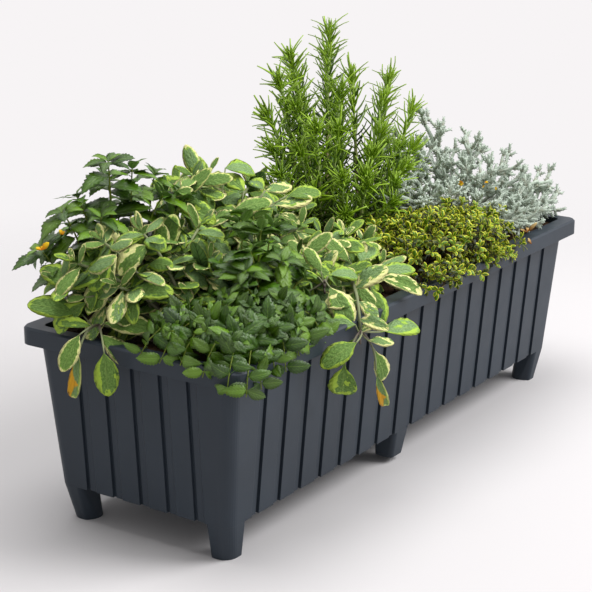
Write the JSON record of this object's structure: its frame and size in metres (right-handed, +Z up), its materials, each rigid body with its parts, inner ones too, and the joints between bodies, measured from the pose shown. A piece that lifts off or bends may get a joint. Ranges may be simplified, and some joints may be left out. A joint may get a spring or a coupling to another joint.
{
  "type": "raised planter",
  "caption": "Long moulded trough on short feet with upright plank walls, a rolled rim and a water reservoir, planted with sage, mint, rosemary, curry plant and thyme.",
  "frame": {"origin": "on the ground, under the middle of the trough", "axes": "+X along the long side, -Y the front long side, +Z up"},
  "size_m": [0.8962, 0.3655, 0.5497],
  "materials": {
    "trough_plastic": "anthracite moulded polypropylene with a fine satin grain",
    "inner_plastic": "dark grey recycled polypropylene, plain moulded",
    "plug_rubber": "soft black rubber, matt",
    "soil": null,
    "root_soil": null,
    "sage_leaf": "velvety variegated sage leaves, grey-green hearts and cream-yellow margins",
    "mint_leaf": "bright green toothed mint leaves on reddish square stems",
    "rosemary_leaf": "needle leaves, deep green above and pale below, on woody stems",
    "silver_leaf": "silver-felted narrow leaves",
    "thyme_leaf": "tiny golden-edged leaves on thin creeping stems"
  },
  "bodies": {
    "planter": {"tub": "trough_plastic", "rim": "trough_plastic", "foot_front_left": "trough_plastic", "foot_front_middle": "trough_plastic", "foot_front_right": "trough_plastic", "foot_rear_left": "trough_plastic", "foot_rear_middle": "trough_plastic", "foot_rear_right": "trough_plastic", "reservoir_platform": "inner_plastic", "platform_pillars": "inner_plastic", "wicking_cup_left": "inner_plastic", "wicking_cup_right": "inner_plastic", "wicking_soil": "soil", "potting_soil": "soil", "rootball_sage_left": "root_soil", "rootball_sage_centre": "root_soil", "rootball_sage_front": "root_soil", "rootball_mint_rear": "root_soil", "rootball_mint_front": "root_soil", "rootball_rosemary": "root_soil", "rootball_curry_plant": "root_soil", "rootball_thyme": "root_soil", "sage_left": "sage_leaf", "sage_centre": "sage_leaf", "sage_front": "sage_leaf", "mint_rear": "mint_leaf", "mint_front": "mint_leaf", "rosemary": "rosemary_leaf", "curry_plant": "silver_leaf", "thyme": "thyme_leaf"},
    "drain_plug_left": {"drain_plug_left": "plug_rubber"},
    "drain_plug_right": {"drain_plug_right": "plug_rubber"}
  },
  "joints": [
    {"name": "drain_plug_left_pull", "type": "slide", "parent": "planter", "child": "drain_plug_left", "axis": [0, 0, -1], "range_m": [0, 0.022]},
    {"name": "drain_plug_right_pull", "type": "slide", "parent": "planter", "child": "drain_plug_right", "axis": [0, 0, -1], "range_m": [0, 0.022]}
  ]
}
